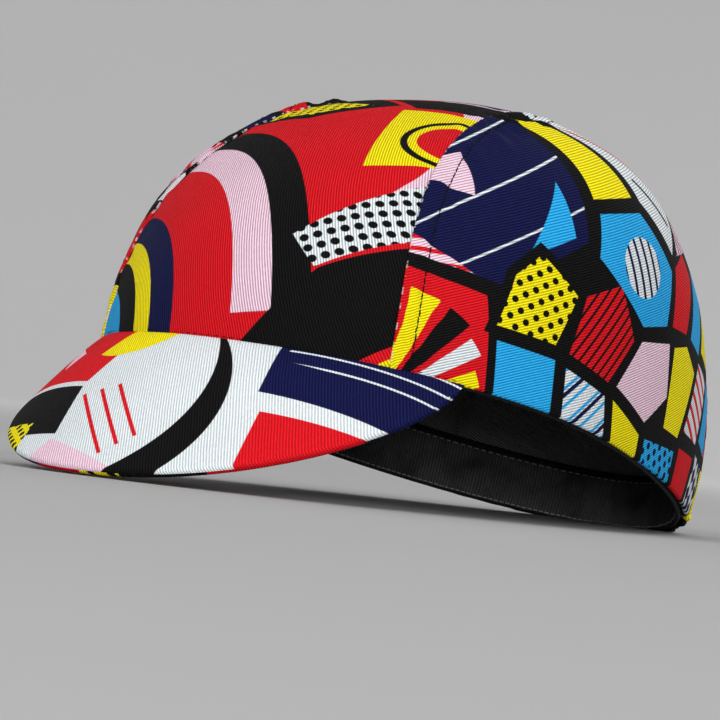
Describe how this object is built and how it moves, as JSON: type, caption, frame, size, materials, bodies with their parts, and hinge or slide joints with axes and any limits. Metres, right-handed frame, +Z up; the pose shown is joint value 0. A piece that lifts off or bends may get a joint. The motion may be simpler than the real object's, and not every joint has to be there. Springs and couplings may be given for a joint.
{
  "type": "cycling cap",
  "caption": "Cloth cycling cap with a three-panel crown, a short turned-down peak and a sweatband, resting on a flat surface.",
  "frame": {"origin": "on the surface that the cap rests on, under the middle of its bounding box", "axes": "+Z up, -Y to the front where the peak is, +X to the wearer's left"},
  "size_m": [0.1546, 0.2434, 0.111],
  "materials": {
    "middle_twill": "printed fine twill, matt",
    "side_twill": "printed fine twill, matt",
    "band_knit": "ribbed black knit, matt",
    "peak_twill": "printed fine twill, matt",
    "peak_under_twill": "printed fine twill, matt"
  },
  "bodies": {
    "root": {"crown_middle_panel": "middle_twill", "crown_left_panel": "side_twill", "crown_right_panel": "side_twill", "sweatband": "band_knit", "peak_top_cover": "peak_twill", "peak_under_cover": "peak_under_twill"}
  },
  "joints": []
}
